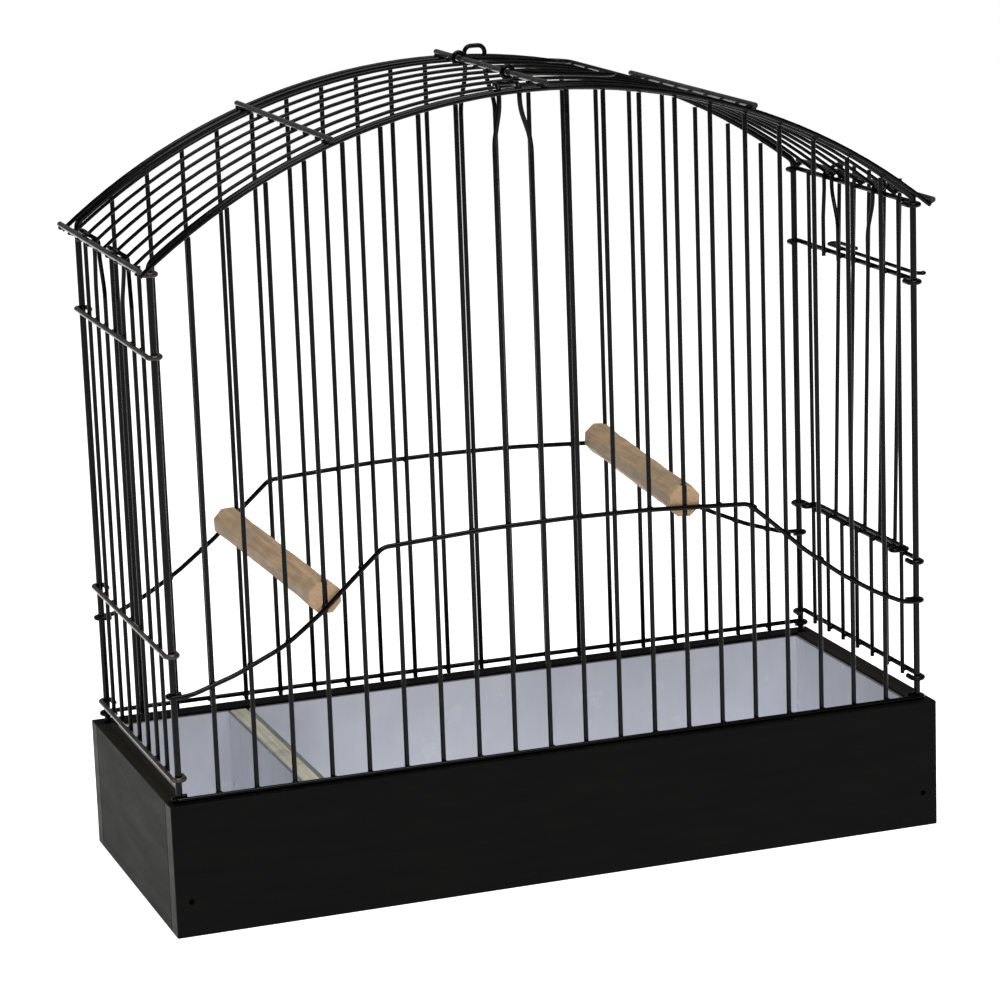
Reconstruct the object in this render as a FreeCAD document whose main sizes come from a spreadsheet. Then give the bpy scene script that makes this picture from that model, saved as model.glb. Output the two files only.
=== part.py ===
import FreeCAD, Part

import math
import os

import Sketcher
from FreeCAD import Placement, Rotation, Vector

# A small wire bird cage on a shallow wooden box base. X runs along the length, with the sliding door at +X,
# Y runs from front to back, Z is up. The origin is the centre of the underside of the base.

SIZES = [
    ("base_length", "360", "box base, along X"),
    ("base_depth", "144", "box base, along Y"),
    ("base_height", "59", "box base, up to its rim"),
    ("long_board", "9.6", "thickness of the front and back boards"),
    ("end_board", "9", "thickness of the two end boards"),
    ("floor_board", "6", "thickness of the floor board"),
    ("divider_board", "8", "thickness of the divider"),
    ("seed_space", "54.5", "length of the left compartment"),
    ("divider_drop", "1.5", "divider's top below the rim"),
    ("nail_cover", "2", "nails from the inner face of an end board, along X"),
    ("nail_level", "15.8", "nails above the underside"),
    ("nail_head", "2.4", "nail head diameter"),
    ("nail_shank", "1.6", "nail shank diameter"),
    ("nail_length", "24", "nail length under the head"),
    ("tray_wall", "1.2", "sheet of the two trays"),
    ("tray_gap", "0.4", "trays from the boards round them"),
    ("tray_drop", "1.2", "trays' edge below the rim"),
    ("tray_corner", "2", "outer corner radius of the trays"),
    ("post_inset", "6", "corner posts from the base's ends, along X"),
    ("post_setback", "7.5", "corner posts from the base's faces, along Y"),
    ("post_wire", "2.9", "corner post and arch wire diameter"),
    ("post_plug", "14", "length of a post inside the rim"),
    ("post_clearance", "0.05", "radial running clearance of a post in its hole"),
    ("weld_gap", "0.01", "between wires that are welded where they cross"),
    ("nub", "1.2", "wire end that stands past the wire it is welded to"),
    ("panel_wire", "2.1", "front and back panel wire diameter"),
    ("panel_gaps", "21", "gaps between the upright wires of a long panel"),
    ("front_drift", "3.5", "front upright wires off their even places, in the middle, along X"),
    ("rim_gap", "0.05", "front bottom wire above the rim"),
    ("back_lift", "3.4", "back panel's cross wires above the front panel's"),
    ("wave_foot", "46.5", "waved wire at the posts, above the rim"),
    ("wave_rise", "57.9", "waved wire's middle above its ends"),
    ("wave_shift", "6", "waved wire's middle part off centre, along X"),
    ("eye_return", "4", "end of a wire past the eye round a post"),
    ("clip_width", "9.2", "hairpin width at the roof"),
    ("clip_shoulder", "24", "hairpin starts to close in, below its crest"),
    ("clip_neck", "10", "hairpin is closed in, below its crest"),
    ("clip_lift", "0.3", "hairpin's crest above the arch it goes over"),
    ("clip_hook", "6", "front hairpin's reach in front of the arch"),
    ("hoop_rise", "2.4", "back hairpin's hoop above the crest"),
    ("hoop_bulge", "0.4", "back hairpin's hoop wider than its neck, each side"),
    ("wall_height", "231.75", "ends of the arches above the rim"),
    ("roof_rise", "60.35", "middle of the arches above their ends"),
    ("roof_wire", "1.6", "arched roof wire diameter"),
    ("roof_edge_wire", "2", "diameter of the two outermost roof wires"),
    ("roof_inset", "1.5", "outermost roof wires from the base's faces, along Y"),
    ("roof_tail", "0.5", "roof wires' ends short of the end rods' middle"),
    ("arch_bend", "5", "bend radius between a post and its arch"),
    ("rod_wire", "2.6", "cross rod diameter"),
    ("rod_overhang", "0.5", "cross rods past the base's faces"),
    ("rod_side", "95.5", "side rods from the middle, along X"),
    ("rod_outset", "6", "end rods outside the corner posts"),
    ("bar_wire", "2.3", "end panel bar diameter"),
    ("bar_bottom", "10", "bottom bar above the rim"),
    ("bar_sill", "64.5", "bar under the door above the rim"),
    ("bar_lintel", "38.75", "bar over the door below the arches' ends"),
    ("bar_top_gap", "0.22", "top bar from the roof wires over it"),
    ("end_wire", "1.9", "end panel wire diameter"),
    ("end_gaps", "8", "gaps between the corner posts of an end panel"),
    ("hook_width", "8.4", "width of an end hook at the roof"),
    ("hook_shoulder", "19", "end hook starts to close in, below the top bar"),
    ("hook_neck", "5", "end hook is closed in, below the top bar"),
    ("hook_lift", "2.2", "end hook bends outwards, above the top bar"),
    ("hook_gap", "0.19", "end hook from the rod it lies over"),
    ("hook_tip", "2.7", "end hook's tip past the place where it is nearest the rod"),
    ("door_rail", "2", "door's bottom rail diameter"),
    ("door_gap", "0.35", "between the end bars and the door's wires"),
    ("door_tilt", "1.45", "door's lean from upright, degrees"),
    ("door_stop", "1.15", "raised door's bottom rail below the bar over the doorway"),
    ("door_head", "2.75", "door wires' upper ends above the arches' ends"),
    ("door_play", "0.2", "door's eyes round their guide wires"),
    ("pull_wire", "1.8", "door's upper rail diameter"),
    ("pull_rise", "0.2", "door's upper rail above the bar over the doorway"),
    ("pull_length", "20", "finger pull, along Y"),
    ("pull_width", "6", "finger pull, out from the rail"),
    ("pull_corner", "1", "finger pull past the guide wire"),
    ("curl_reach", "3.5", "curl at the rail's other end, out from the rail"),
    ("curl_slope", "2.5", "curl's slanting part"),
    ("curl_return", "2", "curl's tip, back along the rail"),
    ("handle_wire", "2", "carrying handle diameter"),
    ("handle_play", "0.3", "handle's eyes round the middle rod"),
    ("handle_front", "-24", "front eye of the handle, along Y"),
    ("handle_back", "41", "back eye of the handle, along Y"),
    ("handle_reach", "52", "handle's length from the rod"),
    ("handle_lie", "0.3", "folded handle's arms above the roof wires"),
    ("handle_bend", "7", "handle's corner radius"),
    ("perch_width", "15", "perches, across the corners"),
    ("left_front", "81.8", "left perch's front end above the rim"),
    ("left_back", "87", "left perch's back end above the rim"),
    ("left_skew", "-3.8", "left perch's back end off its wire, along X"),
    ("right_front", "105.6", "right perch's front end above the rim"),
    ("right_back", "107.6", "right perch's back end above the rim"),
    ("right_skew", "-3.1", "right perch's back end off its wire, along X"),
    ("perch_play", "0.1", "perch notches round their wires"),
    ("perch_stop", "0.05", "perch ends from the waved wires"),
]

doc = FreeCAD.newDocument("BirdCage")
sheet = doc.addObject("Spreadsheet::Sheet", "Sizes")
for row, (alias, value, note) in enumerate(SIZES, start=1):
    sheet.set(f"A{row}", note)
    sheet.set(f"B{row}", value)
    sheet.setAlias(f"B{row}", alias)
doc.recompute()

nodes = []

# Places that follow from the sheet's sizes, written as expressions.
POST_X = "(Sizes.base_length / 2 - Sizes.post_inset)"
POST_Y = "(Sizes.base_depth / 2 - Sizes.post_setback)"
EAVES = "(Sizes.base_height + Sizes.wall_height)"
ARC = f"(({POST_X} ^ 2 + Sizes.roof_rise ^ 2) / (2 * Sizes.roof_rise))"
DOME = f"({EAVES} + Sizes.roof_rise - {ARC})"
INNER_X = "(Sizes.base_length / 2 - Sizes.end_board)"
INNER_DEPTH = "(Sizes.base_depth - 2 * Sizes.long_board)"
LONG_PLACE = "(Sizes.base_depth / 2 - Sizes.long_board / 2)"
END_PLACE = "(Sizes.base_length / 2 - Sizes.end_board / 2)"
SEED_END = f"(Sizes.seed_space - {INNER_X})"


def size(alias):
    """The number in the sheet's cell of that name."""
    return float(sheet.get(alias))


def keep(item, label):
    """Names an object as one of the model's pieces."""
    item.Label = label
    nodes.append(item)
    return item


# ---------------------------------------------------------------- pieces made from primitives, bound to the sheet


def upright(name, radius, place_x, place_y, low, high):
    """An upright round wire. Every argument after the name is an expression on the sheet."""
    wire = doc.addObject("Part::Cylinder", name)
    wire.setExpression("Radius", radius)
    wire.setExpression("Height", f"({high}) - ({low})")
    wire.setExpression("Placement.Base.x", place_x)
    wire.setExpression("Placement.Base.y", place_y)
    wire.setExpression("Placement.Base.z", low)
    return wire


def group(wires, label):
    """Separate solids of one kind kept as one node."""
    compound = doc.addObject("Part::Compound", label)
    compound.Links = wires
    return keep(compound, label)


def feature(shape, label, place=Placement()):
    """A bent wire: its shape comes from Part's sweeps with the sheet's sizes."""
    item = doc.addObject("Part::Feature", label)
    item.Shape = shape
    item.Placement = place
    return keep(item, label)


# ---------------------------------------------------------------- bent wires


def bent(points, wanted):
    """Straight runs through the points, joined by tangent arcs of the wanted radii, or less where a run is short."""
    edges = []
    start = points[0]
    for before, corner, after, radius in zip(points, points[1:], points[2:], wanted):
        back = before - corner
        ahead = after - corner
        shorter = min(back.Length, ahead.Length)
        back.normalize()
        ahead.normalize()
        half = (math.pi - back.getAngle(ahead)) / 2
        cut = min(radius * math.tan(half), 0.5 * shorter)
        radius = cut / math.tan(half)
        middle = back + ahead
        middle.normalize()
        first = corner + back * cut
        last = corner + ahead * cut
        top = corner + middle * (radius / math.cos(half) - radius)
        if start.distanceToPoint(first) > 1e-6:
            edges.append(Part.LineSegment(start, first).toShape())
        edges.append(Part.Arc(first, top, last).toShape())
        start = last
    edges.append(Part.LineSegment(start, points[-1]).toShape())
    return Part.Wire(edges)


def swept(path, diameter):
    """A round wire along a path, checked against its section times its length."""
    edge = path.Edges[0]
    start = edge.valueAt(edge.FirstParameter)
    ring = Part.makeCircle(diameter / 2, start, edge.tangentAt(edge.FirstParameter))
    solid = path.makePipe(Part.Face(Part.Wire(ring)))
    expected = math.pi * diameter**2 / 4 * path.Length
    if abs(solid.Volume - expected) > 0.01 * expected:
        raise ValueError(f"a swept wire has volume {solid.Volume:.2f}, not {expected:.2f}")
    return solid


# ---------------------------------------------------------------- the base


def origin_plane(body, role):
    """One of a body's own origin planes."""
    return next(item for item in body.Origin.OriginFeatures if item.Role == role)


def rectangle(body, name, length, depth, level):
    """A sketch of a centred rectangle on the body's XY plane, raised to a level."""
    sketch = body.newObject("Sketcher::SketchObject", name)
    sketch.AttachmentSupport = (origin_plane(body, "XY_Plane"), [""])
    sketch.MapMode = "FlatFace"
    sketch.setExpression("AttachmentOffset.Base.z", level)
    corners = [Vector(-9, -4, 0), Vector(9, -4, 0), Vector(9, 4, 0), Vector(-9, 4, 0)]
    for index in range(4):
        sketch.addGeometry(Part.LineSegment(corners[index], corners[(index + 1) % 4]))
    for index in range(4):
        sketch.addConstraint(Sketcher.Constraint("Coincident", index, 2, (index + 1) % 4, 1))
    for index in (0, 2):
        sketch.addConstraint(Sketcher.Constraint("Horizontal", index))
    for index in (1, 3):
        sketch.addConstraint(Sketcher.Constraint("Vertical", index))
    sketch.addConstraint(Sketcher.Constraint("Symmetric", 0, 1, 1, 2, -1, 1))
    across = sketch.addConstraint(Sketcher.Constraint("DistanceX", 0, 1, 0, 2, 18))
    along = sketch.addConstraint(Sketcher.Constraint("DistanceY", 1, 1, 1, 2, 8))
    sketch.setExpression(f"Constraints[{across}]", length)
    sketch.setExpression(f"Constraints[{along}]", depth)
    return sketch


def board(label, length, depth, low, high, place_x, place_y):
    """A plain board: a padded rectangle between two levels."""
    body = doc.addObject("PartDesign::Body", label)
    sketch = rectangle(body, label + "_outline", length, depth, low)
    pad = body.newObject("PartDesign::Pad", label + "_pad")
    pad.Profile = sketch
    pad.setExpression("Length", f"({high}) - ({low})")
    body.Tip = pad
    body.setExpression("Placement.Base.x", place_x)
    body.setExpression("Placement.Base.y", place_y)
    return keep(body, label)


def post_holes(body):
    """The two blind holes in the rim that a long board's corner posts stand in."""
    doc.recompute()
    volume = body.Shape.Volume
    sketch = body.newObject("Sketcher::SketchObject", body.Label + "_holes")
    sketch.AttachmentSupport = (origin_plane(body, "XY_Plane"), [""])
    sketch.MapMode = "FlatFace"
    sketch.setExpression("AttachmentOffset.Base.z", "Sizes.base_height")
    inward = -1 if body.Placement.Base.y > 0 else 1
    middle = f"({LONG_PLACE} - {POST_Y})"
    for side in (-1, 1):
        circle = sketch.addGeometry(Part.Circle(Vector(side * 170, inward * 2, 0), Vector(0, 0, 1), 1.5))
        radius = sketch.addConstraint(Sketcher.Constraint("Radius", circle, 1.5))
        across = sketch.addConstraint(Sketcher.Constraint("DistanceX", -1, 1, circle, 3, side * 170))
        along = sketch.addConstraint(Sketcher.Constraint("DistanceY", -1, 1, circle, 3, inward * 2))
        sketch.setExpression(f"Constraints[{radius}]", "Sizes.post_wire / 2 + Sizes.post_clearance")
        sketch.setExpression(f"Constraints[{across}]", f"{side} * {POST_X}")
        sketch.setExpression(f"Constraints[{along}]", f"{inward} * {middle}")
    pocket = body.newObject("PartDesign::Pocket", body.Label + "_sockets")
    pocket.Profile = sketch
    pocket.setExpression("Length", "Sizes.post_plug")
    body.Tip = pocket
    doc.recompute()
    if not body.Shape.Volume < volume - 100:
        raise ValueError(f"{body.Label}: the post holes cut nothing")


def tray(label, left, right):
    """An open tray of thin sheet with rounded upright corners, between two faces of the base."""
    body = doc.addObject("PartDesign::Body", label)
    length = f"(({right}) - ({left}) - 2 * Sizes.tray_gap)"
    depth = f"({INNER_DEPTH} - 2 * Sizes.tray_gap)"
    low = "Sizes.floor_board"
    high = "(Sizes.base_height - Sizes.tray_drop)"
    outline = rectangle(body, label + "_outline", length, depth, low)
    pad = body.newObject("PartDesign::Pad", label + "_pad")
    pad.Profile = outline
    pad.setExpression("Length", f"{high} - {low}")
    doc.recompute()
    uprights = []
    for number, edge in enumerate(pad.Shape.Edges, start=1):
        if abs(edge.Vertexes[0].Z - edge.Vertexes[1].Z) > 1:
            uprights.append(f"Edge{number}")
    rounding = body.newObject("PartDesign::Fillet", label + "_corners")
    rounding.Base = (pad, uprights)
    rounding.setExpression("Radius", "Sizes.tray_corner")
    doc.recompute()
    top = next(
        f"Face{number}"
        for number, face in enumerate(rounding.Shape.Faces, start=1)
        if face.CenterOfMass.z > size("base_height") - size("tray_drop") - 0.01
    )
    hollow = body.newObject("PartDesign::Thickness", label + "_hollow")
    hollow.Base = (rounding, [top])
    hollow.setExpression("Value", "Sizes.tray_wall")
    hollow.Reversed = True
    hollow.Join = 0
    body.Tip = hollow
    body.setExpression("Placement.Base.x", f"(({left}) + ({right})) / 2")
    doc.recompute()
    full = rounding.Shape.Volume
    if not 0 < body.Shape.Volume < 0.4 * full:
        raise ValueError(f"{label}: the tray is not hollow")
    return keep(body, label)


def nail(name, side_x, side_y):
    """A nail through a long board into an end board: a head let in flush with the face, and a shank."""
    turn = Rotation(Vector(1, 0, 0), 90 if side_y > 0 else -90)
    head = doc.addObject("Part::Cylinder", name + "_head")
    head.setExpression("Radius", "Sizes.nail_head / 2")
    head.setExpression("Height", "Sizes.nail_shank / 2")
    shank = doc.addObject("Part::Cylinder", name + "_shank")
    shank.setExpression("Radius", "Sizes.nail_shank / 2")
    shank.setExpression("Height", "Sizes.nail_length")
    for part in (head, shank):
        part.Placement = Placement(Vector(), turn)
        part.setExpression("Placement.Base.x", f"{side_x} * ({INNER_X} + Sizes.nail_cover)")
        part.setExpression("Placement.Base.y", f"{side_y} * Sizes.base_depth / 2")
        part.setExpression("Placement.Base.z", "Sizes.nail_level")
    whole = doc.addObject("Part::Fuse", name)
    whole.Base = head
    whole.Tool = shank
    return whole


for label, sign in (("base_front_board", "-"), ("base_back_board", "")):
    long_board = board(label, "Sizes.base_length", "Sizes.long_board", "0", "Sizes.base_height", "0", sign + LONG_PLACE)
    post_holes(long_board)
for label, sign in (("base_left_board", "-"), ("base_right_board", "")):
    board(label, "Sizes.end_board", INNER_DEPTH, "0", "Sizes.base_height", sign + END_PLACE, "0")
board("base_floor", "2 * " + INNER_X, INNER_DEPTH, "0", "Sizes.floor_board", "0", "0")
board(
    "divider_board",
    "Sizes.divider_board",
    INNER_DEPTH,
    "Sizes.floor_board",
    "Sizes.base_height - Sizes.divider_drop",
    SEED_END + " + Sizes.divider_board / 2",
    "0",
)
tray("seed_tray", "-" + INNER_X, SEED_END)
tray("litter_tray", SEED_END + " + Sizes.divider_board", INNER_X)
group(
    [nail(f"nail_{n}", side_x, side_y) for n, (side_x, side_y) in enumerate([(-1, -1), (1, -1), (-1, 1), (1, 1)])],
    "base_nails",
)

# ---------------------------------------------------------------- front and back panels

GAP = size("weld_gap")
NUB = size("nub")
POST = size("post_wire") / 2
PANEL = size("panel_wire") / 2
PLACE = size("base_length") / 2 - size("post_inset")
ROW = size("base_depth") / 2 - size("post_setback")
RIM = size("base_height")
EAVES_LEVEL = RIM + size("wall_height")
ARCH_RADIUS = (PLACE**2 + size("roof_rise") ** 2) / (2 * size("roof_rise"))
ROOF_RADIUS = ARCH_RADIUS + POST
DOME_Z = EAVES_LEVEL + size("roof_rise") - ARCH_RADIUS

# The upright wires stand flush with the outer side of the arch, and the cross wires pass outside them.
UPRIGHT_ROW = ROW + POST - PANEL
CROSS_ROW = ROW + POST + PANEL + GAP
PITCH = 2 * PLACE / size("panel_gaps")


def arch_height(radius, across):
    """Level of an arc about the roof's centre line, at a distance from the middle."""
    return DOME_Z + math.sqrt(radius**2 - across**2)


def frame_wire(sign):
    """A post, an arch and a post, bent from one wire."""
    row = sign * ROW
    place = PLACE
    bend = size("arch_bend")
    foot = RIM - size("post_plug") + size("rim_gap")
    shoulder = arch_height(ARCH_RADIUS - bend, place - bend)
    outward = Vector(place - bend, 0, shoulder - DOME_Z)
    outward.normalize()
    joint = outward * ARCH_RADIUS + Vector(0, row, DOME_Z)
    turn = (Vector(1, 0, 0) + outward).normalize() * bend + Vector(place - bend, row, shoulder)

    def other(point):
        return Vector(-point.x, point.y, point.z)

    right_foot = Vector(place, row, foot)
    right_top = Vector(place, row, shoulder)
    crown = Vector(0, row, DOME_Z + ARCH_RADIUS)
    edges = [
        Part.LineSegment(other(right_foot), other(right_top)).toShape(),
        Part.Arc(other(right_top), other(turn), other(joint)).toShape(),
        Part.Arc(other(joint), crown, joint).toShape(),
        Part.Arc(joint, turn, right_top).toShape(),
        Part.LineSegment(right_top, right_foot).toShape(),
    ]
    return swept(Part.Wire(edges), size("post_wire"))


def eyed(run, level, sign):
    """A wire that leaves both posts at one level, follows a run between them and has an eye round each post."""
    eye = POST + PANEL + GAP
    outer = sign * CROSS_ROW
    inner = sign * (ROW - eye)
    tail = PLACE - size("eye_return")
    tip = PLACE + eye
    points = [Vector(-tail, inner, level), Vector(-tip, inner, level), Vector(-tip, outer, level)]
    points += [Vector(across, outer, height) for across, height, _ in run]
    points += [Vector(tip, outer, level), Vector(tip, inner, level), Vector(tail, inner, level)]
    radii = [eye, eye] + [radius for _, _, radius in run] + [eye, eye]
    return swept(bent(points, radii), size("panel_wire"))


def waved_run(sign, lift):
    """The decorative wire: low at the posts, up in a slanting sweep, then a shallow bow across the middle."""
    foot = RIM + size("wave_foot") + lift
    rise = size("wave_rise")
    shift = size("wave_shift")
    half = PLACE
    # Each pair is a share of the half length and a share of the rise, from the post up to the shoulder.
    slope = [(0.963, 0.0, 0), (0.862, 0.115, 0.5), (0.747, 0.293, 1), (0.644, 0.527, 1), (0.557, 0.765, 1), (0.489, 0.944, 1)]
    crown = [(-0.2, 0.992), (0.0, 1.0), (0.2, 0.992)]
    bends = [60, 60, 60, 60, 60, 7]
    run = [
        (-share * half + part * shift, foot + up * rise, bend)
        for (share, up, part), bend in zip(slope, bends)
    ]
    run += [(share * half + shift, foot + up * rise, 400) for share, up in crown]
    run += [
        (share * half + part * shift, foot + up * rise, bend)
        for (share, up, part), bend in reversed(list(zip(slope, bends)))
    ]
    if sign > 0:
        run = [(-across, level, bend) for across, level, bend in reversed(run)]
    return run


def wire_place(even, sign):
    """Where an upright wire stands along X: evenly in the back panel, drifted to the right in the front one."""
    drift = size("front_drift") if sign < 0 else 0
    return even + drift * (1 - (even / PLACE) ** 2)


def clip_wire(sign, low):
    """Two neighbouring upright wires are one hairpin that closes in and goes over the arch."""
    middle = wire_place(sign * PITCH, sign)
    wide = PITCH / 2
    narrow = size("clip_width") / 2
    row = sign * UPRIGHT_ROW
    outside = sign * CROSS_ROW
    crest = arch_height(ROOF_RADIUS, PITCH - narrow) + PANEL + size("clip_lift")
    neck = crest - size("clip_neck")
    closed = (sign * PITCH + middle) / 2
    rise = [
        (middle, wide, row, low),
        (middle, wide, row, crest - size("clip_shoulder")),
        (closed, narrow, outside, neck),
    ]
    if sign < 0:
        end = outside + POST + PANEL + size("clip_hook")
        rise += [(closed, narrow, outside, crest), (closed, narrow, end, crest)]
        bends = [30, 30, POST + PANEL, narrow]
    else:
        rise += [(closed, narrow + size("hoop_bulge"), outside, crest + size("hoop_rise"))]
        bends = [30, 30, 0.7 * narrow]
    left = [Vector(centre - half, depth, level) for centre, half, depth, level in rise]
    right = [Vector(centre + half, depth, level) for centre, half, depth, level in reversed(rise)]
    return swept(bent(left + right, bends + bends[::-1]), size("panel_wire"))


for side, sign in (("front", -1), ("back", 1)):
    lift = 0 if sign < 0 else size("back_lift")
    if sign < 0:
        low_end = "(Sizes.base_height + 4 * Sizes.rim_gap)"
        low_level = RIM + 4 * size("rim_gap")
    else:
        low_end = "(Sizes.base_height + Sizes.back_lift - Sizes.nub)"
        low_level = RIM + size("back_lift") - NUB
    feature(frame_wire(sign), side + "_frame")
    bars = []
    for number in range(1, int(size("panel_gaps"))):
        pair = (number - (size("panel_gaps") - 1) / 2) * sign
        if (sign < 0 and pair in (0, 1)) or (sign > 0 and pair in (1, 2)):
            continue
        share = f"({2 * number} / Sizes.panel_gaps - 1)"
        across = f"({POST_X} * {share})"
        if sign < 0:
            across = f"({across} + Sizes.front_drift * (1 - {share} ^ 2))"
        edge = f"(abs({across}) + Sizes.panel_wire / 2)"
        inner_radius = f"({ARC} - Sizes.post_wire / 2)"
        high = f"{DOME} + sqrt({inner_radius} ^ 2 - {edge} ^ 2) - Sizes.weld_gap"
        depth = f"{sign} * ({POST_Y} + Sizes.post_wire / 2 - Sizes.panel_wire / 2)"
        bars.append(upright(f"{side}_bar_{number}", "Sizes.panel_wire / 2", across, depth, low_end, high))
    group(bars, side + "_bars")
    feature(eyed([], RIM + size("rim_gap") + PANEL + lift, sign), side + "_bottom_wire")
    feature(eyed(waved_run(sign, lift), RIM + size("wave_foot") + lift, sign), side + "_waved_wire")
    feature(clip_wire(sign, low_level), side + "_clip")

# ---------------------------------------------------------------- end panels

BAR = size("bar_wire") / 2
THIN = size("end_wire") / 2
EYE = POST + BAR + GAP
BAR_LINE = PLACE + EYE
END_LINE = BAR_LINE - BAR - THIN - GAP
END_PITCH = 2 * ROW / size("end_gaps")
ROD_END = PLACE + size("rod_outset")
BOTTOM = RIM + size("bar_bottom")
SILL = RIM + size("bar_sill")
LINTEL = EAVES_LEVEL - size("bar_lintel")
TOP = arch_height(ROOF_RADIUS - size("roof_wire") - BAR - size("bar_top_gap"), BAR_LINE)
EDGE_ROW = size("base_depth") / 2 - size("roof_inset")
ROOF_PITCH = EDGE_ROW / 4
END_X = f"({POST_X} + Sizes.post_wire / 2 - Sizes.end_wire / 2)"


def end_bar(sign, level):
    """A level bar outside an end panel's wires, ending in an eye round each corner post."""
    outer = sign * BAR_LINE
    inner = sign * (PLACE - EYE)
    tail = ROW - size("eye_return")
    tip = ROW + EYE
    spots = [(inner, -tail), (inner, -tip), (outer, -tip), (outer, tip), (inner, tip), (inner, tail)]
    points = [Vector(across, along, level) for across, along in spots]
    return swept(bent(points, [EYE] * 4), size("bar_wire"))


def end_wires(label, sign, places, low, high):
    """Upright wires of an end panel at places counted from its middle."""
    side = "" if sign > 0 else "-"
    wires = []
    for number, place in enumerate(places):
        along = f"{2 * place} * {POST_Y} / Sizes.end_gaps"
        wires.append(upright(f"{label}_{number}", "Sizes.end_wire / 2", side + END_X, along, low, high))
    return group(wires, label)


def end_hook(sign, side, low):
    """Two wires of an end panel are one hairpin that closes in, passes between two roof wires and over the end rod."""
    middle = 1.5 * side * END_PITCH
    neck = 1.5 * side * ROOF_PITCH
    wide = END_PITCH / 2
    narrow = size("hook_width") / 2
    rod = arch_height(ROOF_RADIUS + size("rod_wire") / 2 + GAP, ROD_END)
    corner = TOP + size("hook_lift")
    reach = math.hypot(ROD_END - END_LINE, rod - corner)
    clear = size("rod_wire") / 2 + THIN + size("hook_gap")
    slope = math.atan2(rod - corner, ROD_END - END_LINE) + math.asin(clear / reach)
    run = math.sqrt(reach**2 - clear**2) + size("hook_tip")
    rise = [
        (END_LINE, middle, wide, low),
        (END_LINE, middle, wide, TOP - size("hook_shoulder")),
        (END_LINE, neck, narrow, TOP - size("hook_neck")),
        (END_LINE, neck, narrow, corner),
        (END_LINE + run * math.cos(slope), neck, narrow, corner + run * math.sin(slope)),
    ]
    bends = [16, 16, 3, narrow]
    front = [Vector(sign * across, centre - half, level) for across, centre, half, level in rise]
    back = [Vector(sign * across, centre + half, level) for across, centre, half, level in reversed(rise)]
    return swept(bent(front + back, bends + bends[::-1]), size("end_wire"))


LEVELS = (("bottom", BOTTOM), ("sill", SILL), ("lintel", LINTEL), ("top", TOP))
for side, sign in (("left", -1), ("right", 1)):
    for name, level in LEVELS:
        feature(end_bar(sign, level), f"{side}_{name}_bar")

FOOT = "Sizes.base_height + Sizes.bar_bottom - Sizes.bar_wire / 2 - Sizes.nub"
UNDER_ROOF = f"({ARC} + Sizes.post_wire / 2 - Sizes.roof_wire - Sizes.bar_wire / 2 - Sizes.bar_top_gap)"
BAR_X = f"({POST_X} + Sizes.post_wire / 2 + Sizes.bar_wire / 2 + Sizes.weld_gap)"
HEAD = f"{DOME} + sqrt({UNDER_ROOF} ^ 2 - {BAR_X} ^ 2) + Sizes.nub"
SILL_HEAD = "Sizes.base_height + Sizes.bar_sill + Sizes.nub"
LINTEL_FOOT = f"{EAVES} - Sizes.bar_lintel - Sizes.bar_wire / 2 - Sizes.nub"
end_wires("left_wires", -1, (-3, 0, 3), FOOT, HEAD)
end_wires("right_guides", 1, (-3, 3), FOOT, HEAD)
end_wires("right_lower_wires", 1, (-2, -1, 0, 1, 2), FOOT, SILL_HEAD)
end_wires("right_upper_wire", 1, (0,), LINTEL_FOOT, HEAD)
for side, sign, bar in (("left", -1, BOTTOM), ("right", 1, LINTEL)):
    hooks = [end_hook(sign, half, bar - BAR - NUB) for half in (-1, 1)]
    feature(Part.makeCompound(hooks), side + "_hooks")

# ---------------------------------------------------------------- roof


def roof_arc(row, diameter):
    """A lengthwise roof wire: one arc that touches the cross rods from below."""
    radius = ROOF_RADIUS - diameter / 2
    reach = ROD_END - size("roof_tail")
    level = arch_height(radius, reach)
    arc = Part.Arc(Vector(-reach, row, level), Vector(0, row, DOME_Z + radius), Vector(reach, row, level))
    return swept(Part.Wire([arc.toShape()]), diameter)


inner_rows = [roof_arc(number * ROOF_PITCH, size("roof_wire")) for number in range(-3, 4)]
edge_rows = [roof_arc(side * EDGE_ROW, size("roof_edge_wire")) for side in (-1, 1)]
feature(Part.makeCompound(inner_rows), "roof_wires")
feature(Part.makeCompound(edge_rows), "roof_edge_wires")

ROD_END_X = f"({POST_X} + Sizes.rod_outset)"
RODS = (
    ("roof_rod_left_end", "-" + ROD_END_X),
    ("roof_rod_left", "-Sizes.rod_side"),
    ("roof_rod_middle", "0 * Sizes.rod_side"),
    ("roof_rod_right", "Sizes.rod_side"),
    ("roof_rod_right_end", ROD_END_X),
)
for label, across in RODS:
    rod = doc.addObject("Part::Cylinder", label)
    rod.setExpression("Radius", "Sizes.rod_wire / 2")
    rod.setExpression("Height", "Sizes.base_depth + 2 * Sizes.rod_overhang")
    rod.Placement = Placement(Vector(), Rotation(Vector(1, 0, 0), -90))
    rod.setExpression("Placement.Base.x", across)
    rod.setExpression("Placement.Base.y", "-Sizes.base_depth / 2 - Sizes.rod_overhang")
    lifted = f"({ARC} + Sizes.post_wire / 2 + Sizes.rod_wire / 2 + Sizes.weld_gap)"
    rod.setExpression("Placement.Base.z", f"{DOME} + sqrt({lifted} ^ 2 - ({across}) ^ 2)")
    keep(rod, label)

# ---------------------------------------------------------------- carrying handle


def handle():
    """A bail with an eye at each end, its eyes' axis on the Y axis and its arms along X."""
    wire = size("handle_wire")
    ring = size("rod_wire") / 2 + size("handle_play") + wire / 2
    front = size("handle_front")
    back = size("handle_back")
    reach = size("handle_reach")
    points = [Vector(ring, front, 0), Vector(reach, front, 0), Vector(reach, back, 0), Vector(ring, back, 0)]
    loop = swept(bent(points, [size("handle_bend")] * 2), wire)
    eyes = [Part.makeTorus(ring, wire / 2, Vector(0, row, 0), Vector(0, 1, 0)) for row in (front, back)]
    return loop.fuse(eyes).removeSplitter()


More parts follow.
